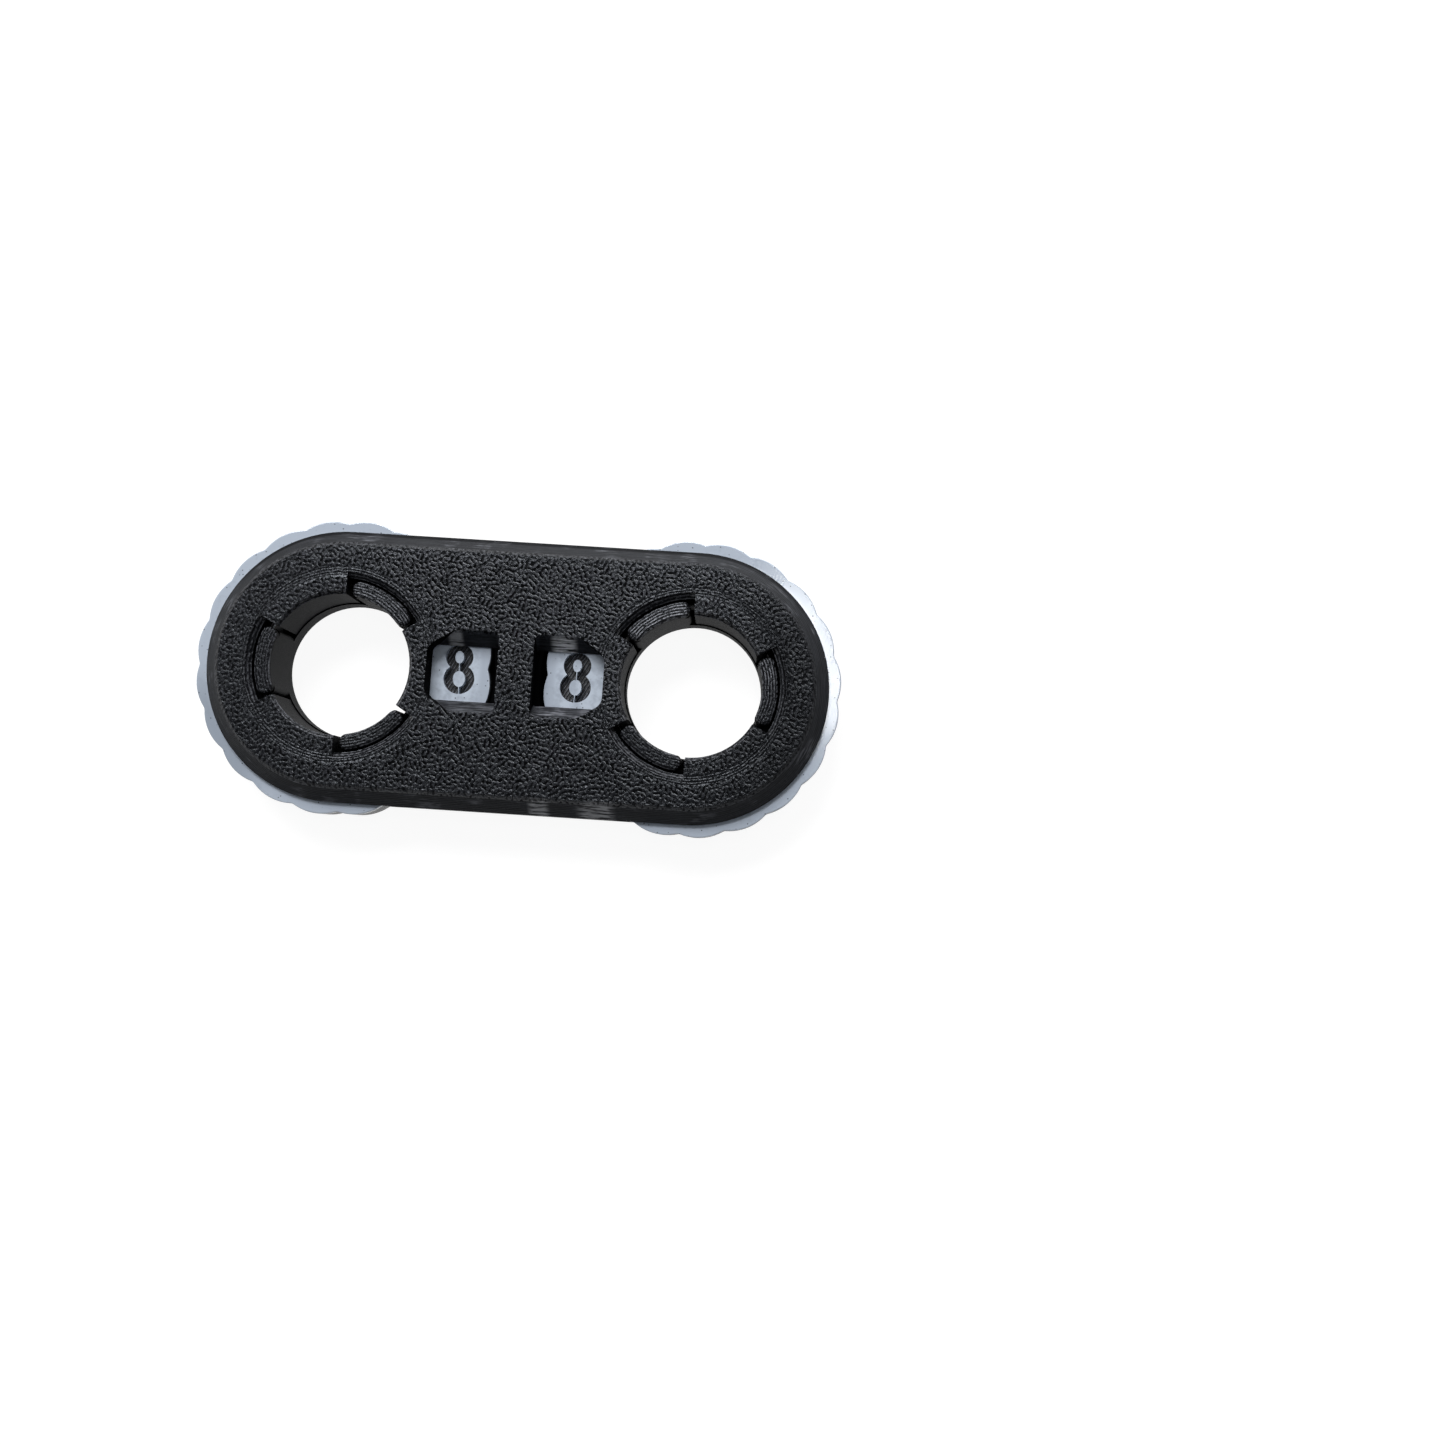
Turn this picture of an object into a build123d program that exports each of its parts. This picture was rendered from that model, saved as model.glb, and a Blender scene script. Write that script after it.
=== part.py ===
# Two-dial life counter, printed in plastic.
#
# Two shells snap together around two numbered dials that lie side by side.
# Each dial turns on a hollow hub and shows one digit through a window in the top shell.
# Frame: millimetres, +Z up, X along the body, origin at the middle of the base's underside.
# The tens dial is on the -X side and the units dial on the +X side.

import os
from math import cos, radians, sin

from build123d import *

# Dials
ring_width = 7.85  # bore to the crown of a scallop
scallop_depth = 0.45  # crown to valley
scallop_count = 20  # two for each digit
valley_round = 0.7  # radius in the bottom of a valley
core_thickness = 3.2  # dark lower layer of a dial
face_thickness = 0.8  # pale upper layer of a dial
dial_float = 0.2  # play above and below a dial
dial_round = 0.15  # softened upper edges of a dial

# Hubs that carry the dials
hub_bore_radius = 8.3  # open finger hole through the counter
tongue_thickness = 1.3  # radial thickness of a snap tongue's shaft
running_gap = 0.4  # hub to the dial's bore
lid_bore_step = 0.15  # how far the top shell's hub wall stands back from the tongues
hub_rim_chamfer = 0.4  # lead-in at the top of the hub hole
tongue_count = 3  # snap tongues on each hub
tongue_half_angle = 25.2  # half of the arc that a tongue spans, degrees
tongue_slot_angle = 3.4  # free arc at each end of a tongue, degrees
tongue_end_round = 0.55  # corner radius of a tongue's shaft seen from above
barb_end_round = 0.85  # the same for its hook
barb_reach = 0.65  # how far the snap hook stands out
barb_round = 0.4  # rounding of the hook's crown
tongue_recess = 0.65  # hook's crown below the top face
snap_gap = 0.05  # under the hook, above its ledge
ledge_thickness = 0.8  # web in the top shell that a hook holds
notch_gap = 0.25  # tongue and hook to the walls of their notch
notch_flare = 0.7  # how far a notch's outer wall leans out towards the top
notch_lead = 0.8  # height of the part that leans

# Body
rim_overhang = 1.5  # how far the scallop crowns stand out past the body
base_thickness = 2.3
lid_thickness = 2.3
edge_land = 0.3  # upright strip left beside the edge chamfers
edge_round = 0.2  # softening of the chamfers' edges
rim_gap = 0.45  # scallop crowns to the spacer between the dials
spacer_waist = 5.4  # spacer between the dials at its narrowest

# Windows
window_bar = 4.2  # bar between the two windows
window_wall = 1.6  # window to the hub hole's rim, at the top face
window_height = 9.95  # at the top face
sight_height = 6.65  # at the underside of the top shell
sight_setback = 0.2  # lean of the wall next to the hub
window_corner_run = 3.2  # diagonal corner at the top face, along the body
window_corner_drop = 2.1  # diagonal corner at the top face, across the body
sight_corner = 0.55  # corner cut at the underside
window_round = 0.8  # corners next to the bar, at the top face
sight_round = 0.4  # corners next to the bar, at the underside
window_corner_round = 1.5  # ends of the diagonal corners, at the top face
sight_corner_round = 0.6  # the same at the underside

# Digits
digit_height = 6.05
digit_width = 3.72
digit_stroke = 1.13
digit_inset = 3.9  # scallop crowns to the middle of a digit
waist_slit = 0.09  # pale line through both eyes of the eight
crossbar_share = 0.76  # thickness of a ring's top and bottom against its sides
tens_rest_turn = 2.4  # how far off centre the tens dial stands at rest, degrees
units_rest_turn = -1.7  # the same for the units dial
rest_digit = 8  # digit in both windows at rest
digit_count = 10

# One overrun serves all cuts
overrun = 1.0

# Sizes that follow from those above
hub_outer_radius = hub_bore_radius + tongue_thickness
dial_bore_radius = hub_outer_radius + running_gap
dial_tip_radius = dial_bore_radius + ring_width
dial_valley_radius = dial_tip_radius - scallop_depth
body_radius = dial_tip_radius - rim_overhang
spacer_clear_radius = dial_tip_radius + rim_gap
dial_spacing = 2 * spacer_clear_radius + spacer_waist
axis_offset = dial_spacing / 2

base_top = base_thickness
core_bottom = base_top + dial_float
face_bottom = core_bottom + core_thickness
face_top = face_bottom + face_thickness
lid_bottom = face_top + dial_float
lid_top = lid_bottom + lid_thickness

lid_bore_radius = hub_bore_radius + lid_bore_step
lid_rim_radius = lid_bore_radius + hub_rim_chamfer
barb_radius = hub_outer_radius + barb_reach
ledge_radius = hub_outer_radius + notch_gap
notch_radius = barb_radius + notch_gap
notch_rim_radius = notch_radius + notch_flare
ledge_top = lid_bottom + ledge_thickness
barb_bottom = ledge_top + snap_gap
barb_top = lid_top - tongue_recess
notch_slope_bottom = lid_top - notch_lead

tongue_pitch = 360 / tongue_count
notch_half_angle = tongue_half_angle + tongue_slot_angle
hub_wall_half_angle = tongue_pitch / 2 - notch_half_angle

digit_radius = dial_tip_radius - digit_inset
digit_pitch = 360 / digit_count

window_near = window_bar / 2
window_far = axis_offset - lid_rim_radius - window_wall
sight_far = window_far - sight_setback

# Digit shapes. Places are shares of half the digit's width and half its height.
# A ring is its centre and its two outer radii; a stroke is a line through two
# points or an arc through three, drawn along the middle of the stroke.
digit_ring_shares = {
    0: [((0.0, 0.0), (0.95, 1.0))],
    6: [((0.0, -0.39), (1.0, 0.61))],
    8: [((0.0, 0.47), (0.89, 0.53)), ((0.0, -0.40), (1.0, 0.60))],
    9: [((0.0, 0.39), (1.0, 0.61))],
}
digit_stroke_shares = {
    1: [[(0.12, 0.83), (0.12, -0.83)], [(0.12, 0.83), (-0.45, 0.52)]],
    2: [
        [(-0.70, 0.48), (0.00, 0.83), (0.70, 0.45)],
        [(0.70, 0.45), (0.45, 0.02), (-0.10, -0.33)],
        [(-0.10, -0.33), (-0.71, -0.83)],
        [(-0.71, -0.83), (0.71, -0.83)],
    ],
    3: [
        [(-0.64, 0.62), (0.62, 0.44), (0.02, 0.05)],
        [(0.02, 0.05), (0.71, -0.40), (-0.68, -0.58)],
    ],
    4: [
        [(0.32, 0.83), (0.32, -0.83)],
        [(0.32, 0.83), (-0.71, -0.38)],
        [(-0.71, -0.38), (0.71, -0.38)],
    ],
    5: [
        [(0.60, 0.83), (-0.52, 0.83)],
        [(-0.52, 0.83), (-0.62, 0.13)],
        [(-0.62, 0.13), (0.71, -0.30), (-0.66, -0.60)],
    ],
    6: [[(-0.71, -0.39), (-0.49, 0.38), (0.22, 0.83)]],
    7: [[(-0.71, 0.83), (0.71, 0.83)], [(0.71, 0.83), (-0.25, -0.83)]],
    9: [[(0.71, 0.39), (0.49, -0.38), (-0.22, -0.83)]],
}


def polar_point(radius, angle):
    """Point at a radius and an angle in degrees about the origin."""
    return (radius * cos(radians(angle)), radius * sin(radians(angle)))


def body_outline():
    """Stadium outline shared by both shells and the spacer."""
    with BuildSketch() as outline:
        SlotCenterToCenter(dial_spacing, 2 * body_radius)
    return outline.sketch


def dial_outline(turn):
    """Scalloped disc with the hub's bore, turned about its own axis in degrees."""
    pitch = 360 / scallop_count
    with BuildSketch() as outline:
        with BuildLine():
            for scallop in range(scallop_count):
                start = scallop * pitch
                ThreePointArc(
                    polar_point(dial_valley_radius, start),
                    polar_point(dial_tip_radius, start + pitch / 2),
                    polar_point(dial_valley_radius, start + pitch),
                )
        make_face()
        fillet(outline.vertices(), valley_round)
        Circle(dial_bore_radius, mode=Mode.SUBTRACT)
    return outline.sketch.rotate(Axis.Z, turn)


def ring_sector(inner, outer, half_angle, corner_round=0):
    """Part of a flat ring, centred on the +X direction."""
    with BuildSketch() as sector:
        with BuildLine():
            RadiusArc(polar_point(outer, -half_angle), polar_point(outer, half_angle), -outer)
            Line(polar_point(outer, half_angle), polar_point(inner, half_angle))
            RadiusArc(polar_point(inner, half_angle), polar_point(inner, -half_angle), inner)
            Line(polar_point(inner, -half_angle), polar_point(outer, -half_angle))
        make_face()
        if corner_round:
            fillet(sector.vertices(), corner_round)
    return sector.sketch


def hub_plane(side, angle, height):
    """Flat plane on a dial's axis with its X direction turned to an angle."""
    return Plane(
        origin=(side * axis_offset, 0, height),
        x_dir=(*polar_point(1, angle), 0),
        z_dir=(0, 0, 1),
    )


def tongue_angles(side):
    """Directions of the tongues of one hub; one tongue faces the end of the body."""
    outward = 0 if side > 0 else 180
    return [outward + tongue_pitch * place for place in range(tongue_count)]


def hub_wall_angles(side):
    """Directions of the top shell's hub walls, half way between the tongues."""
    return [angle + tongue_pitch / 2 for angle in tongue_angles(side)]


def share_point(share):
    """A share of half the digit's width and height as a point."""
    return (share[0] * digit_width / 2, share[1] * digit_height / 2)


def digit_shape(digit):
    """Outline of one digit, upright, centred on the origin."""
    with BuildSketch() as shape:
        for middle, reach in digit_ring_shares.get(digit, []):
            with Locations(share_point(middle)):
                Ellipse(*share_point(reach))
        for stroke in digit_stroke_shares.get(digit, []):
            points = [share_point(share) for share in stroke]
            path = Edge.make_line(*points) if len(points) == 2 else Edge.make_three_point_arc(*points)
            SlotArc(path, digit_stroke)
        for middle, reach in digit_ring_shares.get(digit, []):
            across, along = share_point(reach)
            with Locations(share_point(middle)):
                Ellipse(
                    across - digit_stroke,
                    along - digit_stroke * crossbar_share,
                    mode=Mode.SUBTRACT,
                )
        if len(digit_ring_shares.get(digit, [])) == 2:
            upper_middle = share_point(digit_ring_shares[digit][0][0])
            with Locations((0, (upper_middle[1] - digit_height / 2) / 2)):
                Rectangle(waist_slit, upper_middle[1] + digit_height / 2, mode=Mode.SUBTRACT)
    return shape.sketch


def digit_plane(side, digit, turn):
    """Plane of one digit on a dial; the rest digit lies towards the body's middle."""
    angle = (rest_digit - digit) * digit_pitch + turn
    middle = polar_point(-side * digit_radius, angle)
    return Plane(
        origin=(side * axis_offset + middle[0], middle[1], face_bottom),
        x_dir=(*polar_point(1, angle), 0),
        z_dir=(0, 0, 1),
    )


def window_outline(side, far, half_height, run, drop, near_round, far_round):
    """Window seen from above: square corners at the bar, cut corners at the hub."""
    with BuildSketch() as outline:
        with BuildLine():
            Polyline(
                (side * window_near, half_height),
                (side * (far - run), half_height),
                (side * far, half_height - drop),
                (side * far, drop - half_height),
                (side * (far - run), -half_height),
                (side * window_near, -half_height),
                close=True,
            )
        make_face()
        fillet(outline.vertices().sort_by(lambda corner: abs(corner.X))[:2], near_round)
        fillet(outline.vertices().sort_by(lambda corner: abs(corner.X))[-4:], far_round)
    return outline.sketch


os.makedirs("parts", exist_ok=True)

# Base shell: chamfered plate, spacer between the dials and the snap tongues
with BuildPart() as base_shell:
    with BuildSketch():
        add(body_outline())
    extrude(amount=base_thickness)
    chamfer(base_shell.edges().group_by(Axis.Z)[0], base_thickness - edge_land)
    fillet(base_shell.edges().group_by(Axis.Z)[0], edge_round)
    with BuildSketch(Plane.XY.offset(base_top)):
        add(body_outline())
        with Locations((-axis_offset, 0), (axis_offset, 0)):
            Circle(spacer_clear_radius, mode=Mode.SUBTRACT)
    extrude(amount=lid_bottom - base_top)
    with Locations((-axis_offset, 0, base_top), (axis_offset, 0, base_top)):
        Hole(hub_bore_radius, depth=base_thickness + overrun)
    for side in (-1, 1):
        for angle in tongue_angles(side):
            with BuildSketch(hub_plane(side, angle, base_top)):
                add(ring_sector(hub_bore_radius, hub_outer_radius, tongue_half_angle, tongue_end_round))
            extrude(amount=barb_bottom - base_top)
            with BuildSketch(hub_plane(side, angle, barb_bottom)):
                add(ring_sector(hub_bore_radius, barb_radius, tongue_half_angle, barb_end_round))
            extrude(amount=barb_top - barb_bottom)
    crown_edges = base_shell.edges().group_by(Axis.Z)[-1]
    fillet(crown_edges, min(barb_round, (barb_top - barb_bottom) / 2, tongue_thickness / 3))
base_shell.part.label = "base_shell"
export_step(base_shell.part, "parts/base_shell.step")

# Top shell: chamfered plate with two windows, hub walls and notches for the tongues
with BuildPart() as top_shell:
    with BuildSketch(Plane.XY.offset(lid_bottom)):
        add(body_outline())
    extrude(amount=lid_thickness)
    chamfer(top_shell.edges().group_by(Axis.Z)[-1], lid_thickness - edge_land)
    fillet(top_shell.edges().group_by(Axis.Z)[-1], edge_round)
    with Locations((-axis_offset, 0, lid_top), (axis_offset, 0, lid_top)):
        CounterSinkHole(
            lid_bore_radius,
            lid_rim_radius,
            depth=lid_thickness + overrun,
            counter_sink_angle=90,
        )
    for side in (-1, 1):
        for angle in tongue_angles(side):
            with BuildSketch(hub_plane(side, angle, lid_bottom)):
                add(ring_sector(hub_bore_radius, ledge_radius, notch_half_angle))
            extrude(amount=lid_thickness, mode=Mode.SUBTRACT)
            with BuildSketch(hub_plane(side, angle, ledge_top)):
                add(ring_sector(hub_bore_radius, notch_radius, notch_half_angle))
            extrude(amount=lid_top - ledge_top, mode=Mode.SUBTRACT)
            with BuildSketch(hub_plane(side, angle, notch_slope_bottom)):
                add(ring_sector(hub_bore_radius, notch_radius, notch_half_angle))
            with BuildSketch(hub_plane(side, angle, lid_top)):
                add(ring_sector(hub_bore_radius, notch_rim_radius, notch_half_angle))
            loft(mode=Mode.SUBTRACT, ruled=True)
        for angle in hub_wall_angles(side):
            with BuildSketch(hub_plane(side, angle, base_top)):
                add(ring_sector(lid_bore_radius, hub_outer_radius, hub_wall_half_angle))
            extrude(amount=lid_bottom - base_top)
        with BuildSketch(Plane.XY.offset(lid_bottom)):
            add(window_outline(
                side, sight_far, sight_height / 2, sight_corner, sight_corner,
                sight_round, sight_corner_round,
            ))
        with BuildSketch(Plane.XY.offset(lid_top)):
            add(window_outline(
                side, window_far, window_height / 2, window_corner_run, window_corner_drop,
                window_round, window_corner_round,
            ))
        loft(mode=Mode.SUBTRACT, ruled=True)
top_shell.part.label = "top_shell"
export_step(top_shell.part, "parts/top_shell.step")

# Dials: a dark core and a pale face whose digits are cut through to the core
dials = {
    "tens_dial": (-1, tens_rest_turn),
    "units_dial": (1, units_rest_turn),
}
for dial_name, (side, turn) in dials.items():
    with BuildPart() as dial_core:
        with BuildSketch(Plane.XY.offset(core_bottom)):
            with Locations((side * axis_offset, 0)):
                add(dial_outline(turn))
        extrude(amount=core_thickness)
    dial_core.part.label = dial_name + "_core"
    export_step(dial_core.part, f"parts/{dial_name}_core.step")

    with BuildPart() as dial_face:
        with BuildSketch(Plane.XY.offset(face_bottom)):
            with Locations((side * axis_offset, 0)):
                add(dial_outline(turn))
        extrude(amount=face_thickness)
        fillet(dial_face.edges().group_by(Axis.Z)[-1], dial_round)
        for digit in range(digit_count):
            with BuildSketch(digit_plane(side, digit, turn)):
                add(digit_shape(digit))
            extrude(amount=face_thickness, mode=Mode.SUBTRACT)
    dial_face.part.label = dial_name + "_face"
    export_step(dial_face.part, f"parts/{dial_name}_face.step")

print(f"body {2 * (axis_offset + body_radius):.2f} x {2 * body_radius:.2f} x {lid_top:.2f} mm")
print(f"dials {2 * dial_tip_radius:.2f} mm across, {dial_spacing:.2f} mm apart")
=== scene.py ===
# Two-dial life counter, printed in black and blue-grey plastic: looks, light and camera.
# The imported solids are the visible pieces; lengths in the dictionaries are millimetres.

from math import pi, radians

import bpy
from mathutils import Euler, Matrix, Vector


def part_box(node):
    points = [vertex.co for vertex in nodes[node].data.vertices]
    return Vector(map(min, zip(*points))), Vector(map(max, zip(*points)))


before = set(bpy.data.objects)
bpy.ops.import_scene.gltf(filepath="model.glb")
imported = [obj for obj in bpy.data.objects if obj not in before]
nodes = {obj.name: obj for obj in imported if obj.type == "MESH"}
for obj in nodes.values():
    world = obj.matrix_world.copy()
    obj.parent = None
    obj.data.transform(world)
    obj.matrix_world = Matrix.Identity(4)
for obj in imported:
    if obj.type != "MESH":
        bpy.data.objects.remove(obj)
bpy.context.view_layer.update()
mm = 0.001

# Highest corners read from the frame, in millimetres
lidHigh = [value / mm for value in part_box("top_shell")[1]]
dialHigh = [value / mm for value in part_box("units_dial_core")[1]]
bodyRadius = lidHigh[1]
axisOffset = lidHigh[0] - bodyRadius
topHeight = lidHigh[2]
dialRadius = dialHigh[0] - axisOffset
print("frame: body", round(2 * lidHigh[0], 2), "x", round(2 * bodyRadius, 2),
      "mm, top at", round(topHeight, 2))

# Share of a face's normal that points up: where a face starts to count as level, sloped or upright,
# and where it fully does
levelFace = (0.9, 0.98)
slopedFace = (0.3, 0.5)
uprightFace = (0.35, 0.2)

printedLayer = 0.2  # height of a printed layer, in millimetres


# A number that changes over a surface; arithmetic on it adds Math nodes
class Field:
    def __init__(self, sheet, socket):
        self.sheet = sheet
        self.socket = socket

    def maths(self, operation, *others):
        given = dict(enumerate((self,) + others))
        return self.sheet.field("Math", {"operation": operation}, given)

    def __add__(self, other):
        return self.maths("ADD", other)

    def __radd__(self, other):
        return self.maths("ADD", other)

    def __sub__(self, other):
        return self.maths("SUBTRACT", other)

    def __rsub__(self, other):
        return self.sheet.field("Math", {"operation": "SUBTRACT"}, {0: other, 1: self})

    def __mul__(self, other):
        return self.maths("MULTIPLY", other)

    def __rmul__(self, other):
        return self.maths("MULTIPLY", other)

    def __abs__(self):
        return self.maths("ABSOLUTE")

    def root(self):
        return self.maths("SQRT")

    def most(self, other):
        return self.maths("MAXIMUM", other)

    # Waves between -1 and 1, one for each spacing
    def ripples(self, spacing):
        return (self * (2 * pi / spacing)).maths("SINE")

    # 0 below low, 1 above high, a smooth step between; low may be above high
    def step(self, low, high):
        given = {"Value": self, "From Min": low, "From Max": high}
        return self.sheet.field("MapRange", {"interpolation_type": "SMOOTHSTEP"}, given)

    # 1 beside a place, 0 beyond the reach, with a smooth step that starts at a share of the reach
    def near(self, place, reach, share):
        return abs(self - place).step(reach, reach * share)


# One material's node tree
class Sheet:
    def __init__(self, name):
        self.material = bpy.data.materials.new(name)
        self.material.use_nodes = True
        self.tree = self.material.node_tree
        self.tree.nodes.clear()
        place = self.node("TexCoord")
        given = {0: place.outputs["Object"], "Scale": 1 / mm}
        self.point = self.node("VectorMath", {"operation": "SCALE"}, given).outputs[0]  # millimetres
        apart = self.node("SeparateXYZ", {}, {0: self.point})
        self.x, self.y, self.z = [Field(self, socket) for socket in apart.outputs]
        facing = self.node("SeparateXYZ", {}, {0: place.outputs["Normal"]})
        self.up = Field(self, facing.outputs[2])

    # Settings are set first, then the sockets get their values or links
    def node(self, kind, settings={}, sockets={}):
        made = self.tree.nodes.new("ShaderNode" + kind)
        for name, setting in settings.items():
            setattr(made, name, setting)
        for name, given in sockets.items():
            source = given.socket if isinstance(given, Field) else given
            if isinstance(source, bpy.types.NodeSocket):
                self.tree.links.new(source, made.inputs[name])
            else:
                made.inputs[name].default_value = source
        return made

    def field(self, kind, settings={}, sockets={}):
        return Field(self, self.node(kind, settings, sockets).outputs[0])

    # Fractal noise about 0.5; size is the width of its features
    def noise(self, size, detail=2.0, roughness=0.5, distortion=0.0):
        given = {"Vector": self.point, "Scale": 1 / size, "Detail": detail,
                 "Roughness": roughness, "Distortion": distortion}
        return self.field("TexNoise", {}, given)

    # The point with each direction divided by its own length, then turned in degrees:
    # a pattern on it comes out drawn along the direction with the greatest length
    def stretched(self, lengths, turn=0.0):
        given = {"Vector": self.point, "Rotation": (0, 0, radians(turn)),
                 "Scale": [1 / length for length in lengths]}
        return self.node("Mapping", {"vector_type": "POINT"}, given).outputs[0]

    # Distance along the body past the nearer dial's axis, and distance from that axis
    def hubDistances(self):
        beyond = abs(self.x) - axisOffset
        return beyond, (beyond * beyond + self.y * self.y).root()

    def colour(self, value):
        return value if isinstance(value, bpy.types.NodeSocket) else (*value, 1)

    # Sockets 6 and 7 of a Mix node are its two colours, and output 2 is the mixed one
    def blend(self, factor, first, second):
        given = {0: factor, 6: self.colour(first), 7: self.colour(second)}
        return self.node("Mix", {"data_type": "RGBA"}, given).outputs[2]

    # Heights in millimetres become a normal
    def relief(self, height):
        return self.node("Bump", {}, {"Height": height, "Distance": mm, "Strength": 1.0}).outputs[0]

    def plastic(self, baseColour, roughness, normal, specular=0.5, tint=(1, 1, 1)):
        given = {"Base Color": self.colour(baseColour), "Roughness": roughness, "Normal": normal,
                 "Specular IOR Level": specular, "Specular Tint": (*tint, 1)}
        return self.node("BsdfPrincipled", {}, given).outputs[0]

    def mixed(self, factor, first, second):
        return self.node("MixShader", {}, {0: factor, 1: first, 2: second}).outputs[0]

    def finish(self, shader):
        self.node("OutputMaterial", {}, {"Surface": shader})
        return self.material


# Black shells: creased top skin, contour lines beside edges and holes, stacked layers on every wall, with
# painted shade in the creases and hollows and painted highlights on crests, specks, tongues and layers
shellLook = {
    "colour": (0.0055, 0.0058, 0.0074),
    # painted shade in the creases and in the other dark places listed below
    "creaseShadeColour": (0.001, 0.001, 0.0013),
    # painted highlight on the crests of the skin
    "crestHighlightColour": (0.085, 0.088, 0.1),
    "crestHighlightTilt": (-0.014, 0.045),  # painted highlight on the crests, paler towards -X and +Y where more light falls, share for each millimetre
    # painted highlight specks on the skin
    "speckHighlightColour": (0.13, 0.135, 0.15),
    "tongueHighlightColour": (0.35, 0.36, 0.4),  # painted highlight on the lines along the tongue tops
    "tongueHighlightTilt": (0.018, 0.7, 0.05),  # share of that painted highlight for each millimetre of X, at X 0, and everywhere
    "notchLight": 0.3,  # share of that painted highlight in the lines on the notches' leaning walls
    "wallColour": (0.0045, 0.0047, 0.006),
    "bandColour": (0.02, 0.021, 0.025),  # paler layers on the slopes
    "paleHighlightAndScuffColour": (0.16, 0.165, 0.185),  # painted highlight on layers of the windows' -Y slopes, also the colour of the faint scuffs on the outer chamfers
    "brightHighlightAndScuffColour": (0.8, 0.81, 0.84),  # painted highlight streaks in a patch on each window's +Y slope, also the colour of the scuffs on the -Y chamfer
    "tint": (0.86, 0.92, 1.0),
    "chamferRun": 2.0,  # from the body's outline in to the top face
    "rimRadius": 8.85,  # hub hole at the top face
    "notchRadius": 11.2,  # notch's outer wall at the top face
    "windowHalf": (10.7, 6.0),  # the windows and their slopes lie within this of the middle, along X and Y
    "highlightPatchPlaces": ((-7.5, 1.1), (5.5, 1.8)),  # middle and half width of the painted highlight patch in each window
    "highlightPatchShare": 0.45,  # strength of the first patch against the second
    "scuffedPlaces": ((3.9, 1.5), (10.7, 2.6)),  # middle and half width of the scuffs on the -Y chamfer
    "scuffedShare": 0.4,
    "scuffs": 0.5,  # strength of the faint scuffs here and there on the outer chamfers
    "tongueDrop": 0.65,  # tongue tops below the top face
    "ledgeDrop": 1.1,  # anything level below this is a ledge inside a notch
    "streakLength": 2.6,  # of the light streaks, along the layers
    "layerRelief": 0.008,
    "wallGrain": 0.02,
    "bedLine": 0.6,  # width of the first layer's lines, underneath
    "bedRelief": 0.006,
    "crease": 0.57,  # spacing of the skin's creases
    "creaseStretch": (1.0, 1.06, 1.0),  # they are drawn out a little along Y
    "creaseTurn": 8,  # degrees by which the whole pattern of waves is turned
    "creaseBend": 0.3,  # how much a slow noise bends them
    "creaseTop": 0.445,  # wave heights at the lip and the bottom of a crease
    "creaseBottom": 0.345,
    "creaseLip": 0.12,  # further rise from the lip to the level skin
    "creaseDepth": 0.145,
    "calmEnd": 0.45,  # how much shallower the creases get towards the -X end
    "spill": 0.5,  # how far the creases run down from the top face over a slope
    "grain": 0.22,  # finer pebbles between the creases
    "grainRelief": 0.02,
    "contour": 0.34,  # spacing of the contour lines
    "contourReach": 1.1,  # how far they run in from an edge
    "contourFade": 0.7,  # how far before that they start to fade
    "contourDepth": 0.055,
    "contourWaver": 0.3,
    "rimLines": 0.35,  # strength of the lines round the hub holes against those round the notches
    "outlineLines": 0.45,  # the same for the lines beside the outline
    "creaseShade": 0.92,  # from here on, how much painted shade a place gets: 1 is as dark as the bottom of a crease
    "tongueShade": 0.22,  # painted shade on the tongue tops between their lines
    "hubShade": 0.45,  # painted shade on the upright walls of the hubs
    "stripShade": 0.6,  # painted shade on the outer strip of the +Y chamfer
    "endShades": (0.18, 0.45),  # painted shade on the skin at the -X and the +X end
    "roughness": 0.25,
    "roughnessSpread": 0.3,
    "wallRoughness": 0.55,
    "paintedShadeRoughness": 0.95,
    "specular": 0.4,
    "wallSpecular": 0.18,
    "paintedShadeSpecular": 0.04,
    "notchGloss": 0.8,  # share of the skin's gloss on the notches' leaning walls
    "spillGloss": 0.5,  # the same where the creases run over an edge
}


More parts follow.
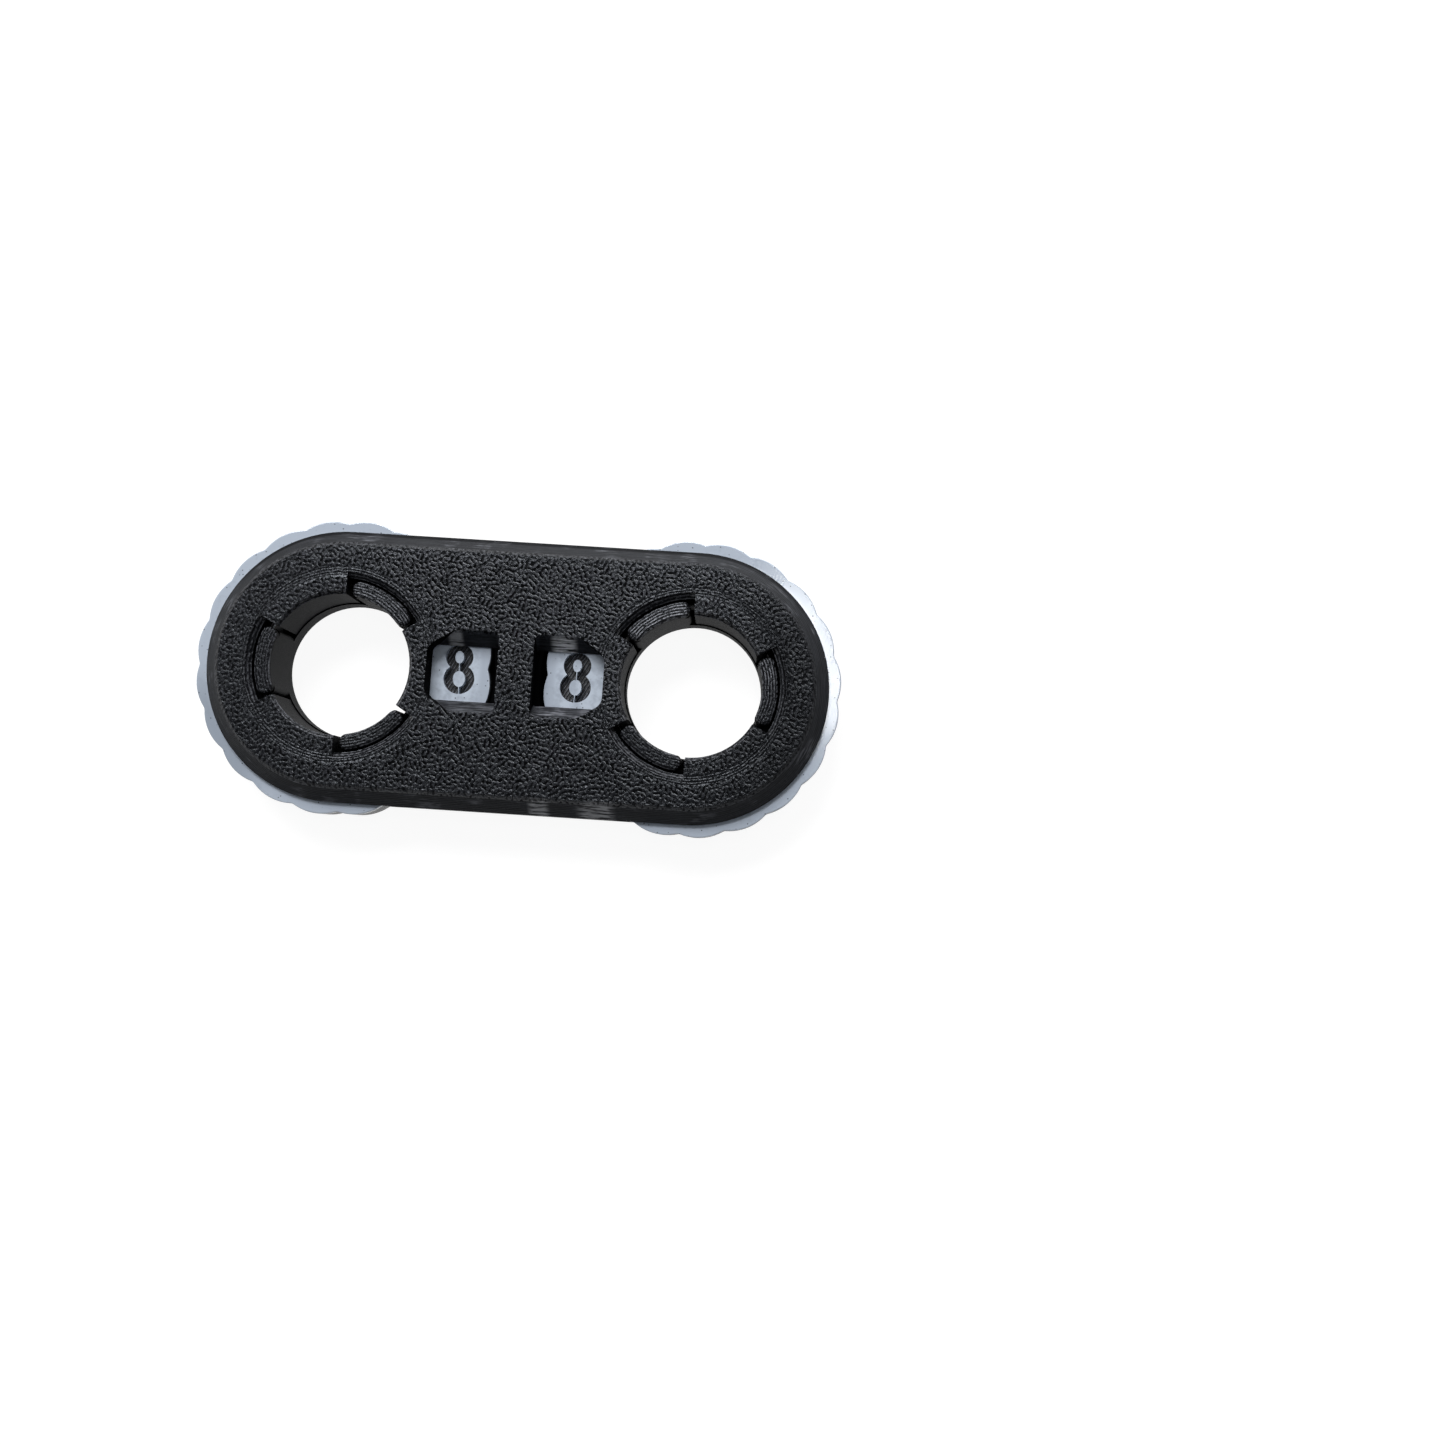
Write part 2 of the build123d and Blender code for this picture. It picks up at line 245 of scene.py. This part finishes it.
def makeShellMaterial(look):
    sheet = Sheet("shell_black")
    topSide = sheet.up.step(*levelFace)
    underSide = sheet.up.step(-levelFace[0], -levelFace[1])
    slope = sheet.up.step(*slopedFace) * (1 - topSide)
    below = topHeight - sheet.z
    spill = slope * below.step(look["spill"], look["spill"] * 0.5)
    skinSide = topSide.most(spill)
    tongueTop = below.step(look["tongueDrop"] * 0.4, look["tongueDrop"] * 0.7) * topSide

    # distances out from the hub axes and in from the top face's outline, symmetrical about the middle
    beyond, fromHub = sheet.hubDistances()
    alongBody = beyond.most(0)
    fromSpine = (alongBody * alongBody + sheet.y * sheet.y).root()
    insideEdge = bodyRadius - look["chamferRun"] - fromSpine

    # creases: short winding valleys of one width, where waves of one length run in all directions at once
    bent = sheet.noise(look["crease"] * 1.6, 1.0) - 0.5
    given = {"Vector": sheet.stretched(look["creaseStretch"], look["creaseTurn"]),
             "Scale": 0.5 / look["crease"], "Frequency": 2.0, "Anisotropy": 0.0}
    waves = sheet.field("TexGabor", {"gabor_type": "2D"}, given)
    grain = sheet.noise(look["grain"], 2.0, 0.6, 0.5) - 0.5
    winding = waves + bent * look["creaseBend"] + grain * 0.2
    skinCrease = winding.step(look["creaseTop"], look["creaseBottom"])
    plateau = winding.step(look["creaseBottom"], look["creaseTop"] + look["creaseLip"])

    # contour lines next to the outline, the hub holes, the notches and along the tongues
    waver = sheet.noise(1.6, 2.0) * look["contourWaver"]
    edgeLines = (insideEdge + waver).ripples(look["contour"])
    hubLines = (fromHub + waver).ripples(look["contour"])
    nearEdge = insideEdge.step(look["contourReach"] + 0.3, look["contourReach"] - look["contourFade"])
    hubReach = look["rimRadius"] + look["contourReach"]
    nearHub = fromHub.step(hubReach + 0.2, hubReach - look["contourFade"])
    nearNotch = abs(fromHub - look["notchRadius"]).step(0.9, 0.4)
    onNotch = slope * fromHub.step(look["notchRadius"] + 0.15, look["notchRadius"] - 0.05)
    hubZone = (nearHub * look["rimLines"]).most(nearNotch).most(tongueTop)
    lineZone = (nearEdge * look["outlineLines"]).most(hubZone)
    lines = edgeLines * nearEdge * look["outlineLines"] * (1 - hubZone) + hubLines * hubZone
    broken = sheet.noise(0.45, 2.0, 0.6).step(0.36, 0.56)
    lineCrease = lines.step(-0.35, -0.95) * broken * lineZone

    calm = 1 - sheet.x.step(-12, -34) * look["calmEnd"]
    crease = (skinCrease * (1 - lineZone * 0.75)).most(lineCrease) * (calm * 0.5 + 0.5)
    creaseRelief = plateau * (1 - lineZone * 0.6) * calm * look["creaseDepth"]
    lineRelief = lines * lineZone * broken * (look["contourDepth"] / 2)
    topRelief = creaseRelief + lineRelief + grain * look["grainRelief"]

    # stacked layers on walls and chamfers
    layers = (sheet.z + sheet.noise(6.0, 1.0) * 0.03).ripples(printedLayer)
    wallRelief = layers * look["layerRelief"] + sheet.noise(0.6, 3.0, 0.6) * look["wallGrain"]
    wallRelief = wallRelief * ((1 - skinSide) * (1 - underSide))

    # first layer: wide flat lines at 45 degrees
    bedLines = (sheet.x + sheet.y).ripples(look["bedLine"])
    bedRelief = bedLines * look["bedRelief"] + sheet.noise(0.25, 2.0) * 0.01

    notchRelief = hubLines * onNotch * (look["contourDepth"] / 2)
    height = topRelief * skinSide + bedRelief * underSide + wallRelief + notchRelief
    normal = sheet.relief(height)

    # streaks along the layers: painted highlights all over the windows' -Y slopes and in one patch on each
    # +Y slope;
    # pale scuffs in the scuffed places of the -Y chamfer and faintly here and there on the outer chamfers
    halfLength, halfHeight = look["windowHalf"]
    windowRows = abs(sheet.y).step(halfHeight + 0.2, halfHeight - 0.2)
    inWindow = abs(sheet.x).step(halfLength + 0.2, halfLength - 0.2) * windowRows * slope
    lengths = (look["streakLength"], look["streakLength"], printedLayer)
    given = {"Vector": sheet.stretched(lengths), "Scale": 1.0, "Detail": 3.0, "Roughness": 0.65}
    streak = sheet.field("TexNoise", {}, given)
    highlightPatches = [sheet.x.near(middle, reach, 0.4) for middle, reach in look["highlightPatchPlaces"]]
    scuffed = [sheet.x.near(middle, reach, 0.4) for middle, reach in look["scuffedPlaces"]]
    patchy = sheet.noise(1.4, 2.0).step(0.4, 0.65) * (0.6 + sheet.x * 0.05) + 0.35
    # painted highlight on the layers of the windows' -Y slopes, which face the light
    lowerHighlightStreaks = streak.step(0.4, 0.66) * patchy * sheet.y.step(0.5, -0.5)
    # painted highlight streaks in one patch on each window's +Y slope
    upperHighlightStreaks = streak.step(0.34, 0.54) * (highlightPatches[0] * look["highlightPatchShare"]).most(highlightPatches[1])
    upperHighlightStreaks = upperHighlightStreaks * inWindow * sheet.y.step(-0.5, 0.5)
    sideScuffs = streak.step(0.38, 0.6) * scuffed[0].most(scuffed[1]) * sheet.y.step(-11, -14) * slope
    scuffs = sheet.noise(3.0, 2.0).step(0.5, 0.7) * streak.step(0.45, 0.65) * (1 - inWindow) * slope

    # colours of the skin: painted highlights on the crests and specks, painted shade in the creases
    crestHighlightShare = sheet.x * look["crestHighlightTilt"][0] + sheet.y * look["crestHighlightTilt"][1] + 1
    crestHighlight = (winding + grain * 1.6).step(0.58, 0.96) * (1 - crease) * calm * crestHighlightShare
    highlightSpecks = sheet.noise(0.32, 1.0).step(0.69, 0.75)
    colour = sheet.blend(crestHighlight, look["colour"], look["crestHighlightColour"])
    colour = sheet.blend(highlightSpecks, colour, look["speckHighlightColour"])
    perX, atMiddle, everywhere = look["tongueHighlightTilt"]
    # painted highlight on the tongue tops, stronger towards +Y and +X where the light falls
    tongueLight = tongueTop * (sheet.y.step(-4, 9) * (sheet.x * perX + atMiddle) + everywhere)
    tongueHighlightLines = hubLines.step(0.0, 0.8) * broken * (tongueLight + onNotch * look["notchLight"])
    colour = sheet.blend(tongueHighlightLines, colour, look["tongueHighlightColour"])
    # painted shade in the creases
    colour = sheet.blend(crease, colour, look["creaseShadeColour"])
    roughness = look["roughness"] + (sheet.noise(0.35, 2.0) - 0.5) * look["roughnessSpread"]

    # colours of the walls and slopes
    bands = streak.step(0.38, 0.68) * slope * (inWindow * 0.4 + 0.6)
    wallColour = sheet.blend(bands, look["wallColour"], look["bandColour"])
    streaks = lowerHighlightStreaks * inWindow + scuffs * look["scuffs"]
    wallColour = sheet.blend(streaks, wallColour, look["paleHighlightAndScuffColour"])
    highlightAndScuffStreaks = upperHighlightStreaks.most(sideScuffs * look["scuffedShare"])
    wallColour = sheet.blend(highlightAndScuffStreaks, wallColour, look["brightHighlightAndScuffColour"])

    # painted shade, as dark as the bottom of a crease: in the creases, on the upright walls inside the
    # windows and hubs, on the ledges in the notches, the tongue tops, the outer strip of the +Y chamfer and
    # both ends of the skin
    besideBar = abs(sheet.x).step(halfLength + 0.4, halfLength + 0.1) * windowRows
    inHub = fromHub.step(look["notchRadius"] + 0.2, look["notchRadius"]) * look["hubShade"]
    upright = abs(sheet.up).step(*uprightFace) * besideBar.most(inHub)
    ledges = below.step(look["ledgeDrop"], look["ledgeDrop"] + 0.3) * topSide
    outerStripShade = below.step(1.4, 1.65) * slope * sheet.y.step(8, 13) * look["stripShade"]
    ends = sheet.x.step(-14, -34) * look["endShades"][0]
    ends = ends.most(sheet.x.step(20, 35) * look["endShades"][1])
    paintedShade = ends * skinSide * (1 - tongueTop)
    creaseShade = crease * skinSide.most(onNotch) * look["creaseShade"]
    for shade in (creaseShade, upright, ledges, tongueTop * look["tongueShade"], outerStripShade):
        paintedShade = paintedShade.most(shade)

    skinShader = sheet.plastic(colour, roughness, normal, look["specular"], look["tint"])
    wallShader = sheet.plastic(wallColour, look["wallRoughness"], normal, look["wallSpecular"], look["tint"])
    # the shader of the painted shade
    paintedShadeShader = sheet.plastic(look["creaseShadeColour"], look["paintedShadeRoughness"], normal, look["paintedShadeSpecular"])
    glossy = topSide.most(onNotch * look["notchGloss"]).most(spill * look["spillGloss"])
    return sheet.finish(sheet.mixed(paintedShade, sheet.mixed(glossy, wallShader, skinShader), paintedShadeShader))


# Pale dial faces: fine fill lines, mottling and dark flecks from the stone-look plastic, and painted shade
# at the rims
dialFaceLook = {
    "colour": (0.59, 0.66, 0.76),
    # darker tone of the random mottling, also the painted shade on the rims
    "mottleAndShadeColour": (0.435, 0.49, 0.575),
    "rimShadeWidth": 1.353,  # how far in from the rim a dial gets painted shade
    "rimShadeShare": 0.8,
    "lowerLeftShadeColour": (0.3, 0.345, 0.41),  # painted shade, darker still on the tens dial's rim towards -X and -Y
    "lowerLeftShadeShare": 0.75,
    "fleckColour": (0.05, 0.055, 0.07),
    "fleckSpacing": 0.7,
    "fleckSize": 0.2,
    "fillLine": 0.42,
    "fillAcross": (0.94, -0.34),  # direction across the fill lines, X and Y
    "fillRelief": 0.0006,
    "grainRelief": 0.0015,
    "layerRelief": 0.008,
    "roughness": 0.09,
    "roughnessSpread": 0.06,
}


def makeDialFaceMaterial(look):
    sheet = Sheet("dial_grey")
    topSide = sheet.up.step(*levelFace)
    given = {"Vector": sheet.point, "Scale": 1 / look["fleckSpacing"], "Randomness": 1.0}
    cells = sheet.field("TexVoronoi", {"feature": "F1"}, given)
    flecks = (cells + sheet.noise(0.15, 2.0) * 0.1).step(look["fleckSize"], look["fleckSize"] * 0.5)
    mottle = sheet.noise(1.2, 3.0, 0.6).step(0.35, 0.7)
    fromHub = sheet.hubDistances()[1]
    rimShadeRadius = dialRadius - look["rimShadeWidth"]
    # painted shade on a band along each dial's rim
    rimShade = fromHub.step(rimShadeRadius - 0.5, rimShadeRadius + 0.5)
    colour = sheet.blend(mottle.most(rimShade * look["rimShadeShare"]), look["colour"], look["mottleAndShadeColour"])
    # painted shade on the tens dial's rim towards -X and -Y
    lowerLeftShade = rimShade * sheet.x.step(-28, -33) * sheet.y.step(0, -6) * look["lowerLeftShadeShare"]
    colour = sheet.blend(lowerLeftShade, colour, look["lowerLeftShadeColour"])
    colour = sheet.blend(flecks, colour, look["fleckColour"])
    acrossX, acrossY = look["fillAcross"]
    fill = (sheet.x * acrossX + sheet.y * acrossY).ripples(look["fillLine"])
    fillRelief = fill * look["fillRelief"] * topSide
    layerRelief = sheet.z.ripples(printedLayer) * look["layerRelief"] * (1 - topSide)
    height = fillRelief + layerRelief + sheet.noise(0.5, 2.0) * look["grainRelief"]
    roughness = look["roughness"] + (sheet.noise(0.9, 2.0) - 0.5) * look["roughnessSpread"]
    return sheet.finish(sheet.plastic(colour, roughness, sheet.relief(height)))


# Dark dial cores: diagonal fill lines in the bottom of each digit, with a painted highlight on their crests
dialCoreLook = {
    "colour": (0.006, 0.007, 0.0095),
    # painted highlight on the crests of the fill lines
    "lineHighlightColour": (0.20, 0.21, 0.24),
    "lineHighlightShare": 0.7,
    "fillLine": 0.38,
    "fillAcross": (0.87, -0.5),  # direction across the fill lines, X and Y
    "fillRelief": 0.03,
    "grainRelief": 0.015,
    "layerRelief": 0.01,
    "roughness": 0.4,
}


def makeDialCoreMaterial(look):
    sheet = Sheet("dial_black")
    topSide = sheet.up.step(*levelFace)
    acrossX, acrossY = look["fillAcross"]
    across = sheet.x * acrossX + sheet.y * acrossY
    fill = (across + sheet.noise(1.5, 2.0) * 0.15).ripples(look["fillLine"])
    # painted highlight on the crests of the fill lines, in patches
    crestHighlight = fill.step(0.2, 0.95) * topSide * sheet.noise(0.7, 3.0, 0.65).step(0.38, 0.66)
    colour = sheet.blend(crestHighlight * look["lineHighlightShare"], look["colour"], look["lineHighlightColour"])
    fillRelief = fill * look["fillRelief"] * topSide
    layerRelief = sheet.z.ripples(printedLayer) * look["layerRelief"] * (1 - topSide)
    height = fillRelief + layerRelief + sheet.noise(0.4, 2.0) * look["grainRelief"]
    return sheet.finish(sheet.plastic(colour, look["roughness"], sheet.relief(height)))


def dress():
    shellMaterial = makeShellMaterial(shellLook)
    faceMaterial = makeDialFaceMaterial(dialFaceLook)
    coreMaterial = makeDialCoreMaterial(dialCoreLook)
    for name, node in nodes.items():
        if name.endswith("_shell"):
            material = shellMaterial
        elif name.endswith("_face"):
            material = faceMaterial
        else:
            material = coreMaterial
        for slot in node.material_slots:
            slot.material = material
    print("materials: shells, dial faces, dial cores")


# Camera at the place worked out from the photograph's outlines
photoView = {
    "imagePixels": 1445,
    "focalPixels": 1384,
    "place": (28.007, -18.647, 161.883),  # from the middle of the top face
    "turn": (5.1947, 0.7554, 3.6897),  # degrees about X, Y and Z
    "sensor": 36,
    "nearest": 0.01,  # metres
}


def setCamera(view):
    camera = bpy.data.objects.new("photoCamera", bpy.data.cameras.new("photoCamera"))
    bpy.context.collection.objects.link(camera)
    camera.data.sensor_width = view["sensor"]
    camera.data.lens = view["focalPixels"] / view["imagePixels"] * view["sensor"]
    camera.data.clip_start = view["nearest"]
    camera.location = (Vector(view["place"]) + Vector((0, 0, topHeight))) * mm
    camera.rotation_euler = Euler([radians(angle) for angle in view["turn"]])
    bpy.context.scene.camera = camera
    print("camera: lens", round(camera.data.lens, 2), "mm")


# White floor that keeps a faint shadow: the camera and mirrors see it near white,
# and the object gets less light from it
floorLook = {
    "halfSize": 1500,
    "bounceColour": (0.5, 0.5, 0.5),
    "seenColour": (0.2, 0.2, 0.2),
    "seenGlow": 0.92,
}


# 1 for rays that show a surface or the world itself, 0 for the light that they give to the object
def seenRays(sheet):
    rays = sheet.node("LightPath")
    names = ("Is Camera Ray", "Is Glossy Ray", "Is Transmission Ray")
    seen = [Field(sheet, rays.outputs[name]) for name in names]
    return seen[0].most(seen[1]).most(seen[2])


def setFloor(look):
    half = look["halfSize"] * mm
    corners = [(-half, -half, 0), (half, -half, 0), (half, half, 0), (-half, half, 0)]
    mesh = bpy.data.meshes.new("floor")
    mesh.from_pydata(corners, [], [(0, 1, 2, 3)])
    floor = bpy.data.objects.new("floor", mesh)
    bpy.context.collection.objects.link(floor)
    sheet = Sheet("floor")
    bounce = sheet.node("BsdfDiffuse", {}, {"Color": (*look["bounceColour"], 1)}).outputs[0]
    given = {"Base Color": (*look["seenColour"], 1), "Roughness": 1.0, "Specular IOR Level": 0.0,
             "Emission Color": (1, 1, 1, 1), "Emission Strength": look["seenGlow"]}
    seen = sheet.node("BsdfPrincipled", {}, given).outputs[0]
    floor.data.materials.append(sheet.finish(sheet.mixed(seenRays(sheet), bounce, seen)))
    print("floor:", 2 * look["halfSize"], "mm square")


# Lamps: place and aim in millimetres, width and height, power in watts; a roll in degrees about the beam
lamps = {
    "key": {"place": (-220, 600, 680), "aim": (0, 0, 0), "size": (620, 400), "power": 8.4},
    "glare": {"place": (72, 116, 800), "aim": (92, 18, 0), "size": (38, 112), "roll": 18, "power": 0.27},
    "back": {"place": (150, 480, 58), "aim": (0, 0, 0), "size": (600, 110), "power": 2.4},
    "left": {"place": (-620, 120, 170), "aim": (0, 0, 0), "size": (500, 260), "power": 0.55},
}
worldLook = {"colour": (0.95, 0.97, 1.0), "strength": 0.15}


def setLight(lampTable, look):
    for name, facts in lampTable.items():
        lamp = bpy.data.lights.new(name, "AREA")
        lamp.shape = "RECTANGLE"
        lamp.size, lamp.size_y = [side * mm for side in facts["size"]]
        lamp.energy = facts["power"]
        item = bpy.data.objects.new(name, lamp)
        bpy.context.collection.objects.link(item)
        item.location = Vector(facts["place"]) * mm
        beam = Vector(facts["aim"]) - Vector(facts["place"])
        item.rotation_euler = beam.to_track_quat("-Z", "Y").to_euler()
        item.rotation_euler.rotate_axis("Z", radians(facts.get("roll", 0)))
    world = bpy.data.worlds.new("studio")
    bpy.context.scene.world = world
    world.use_nodes = True
    background = world.node_tree.nodes["Background"]
    background.inputs["Color"].default_value = (*look["colour"], 1)
    background.inputs["Strength"].default_value = look["strength"]
    print("light:", ", ".join(lampTable), "and the world")


setCamera(photoView)
dress()
setFloor(floorLook)
setLight(lamps, worldLook)
bpy.context.scene.view_settings.view_transform = "Standard"
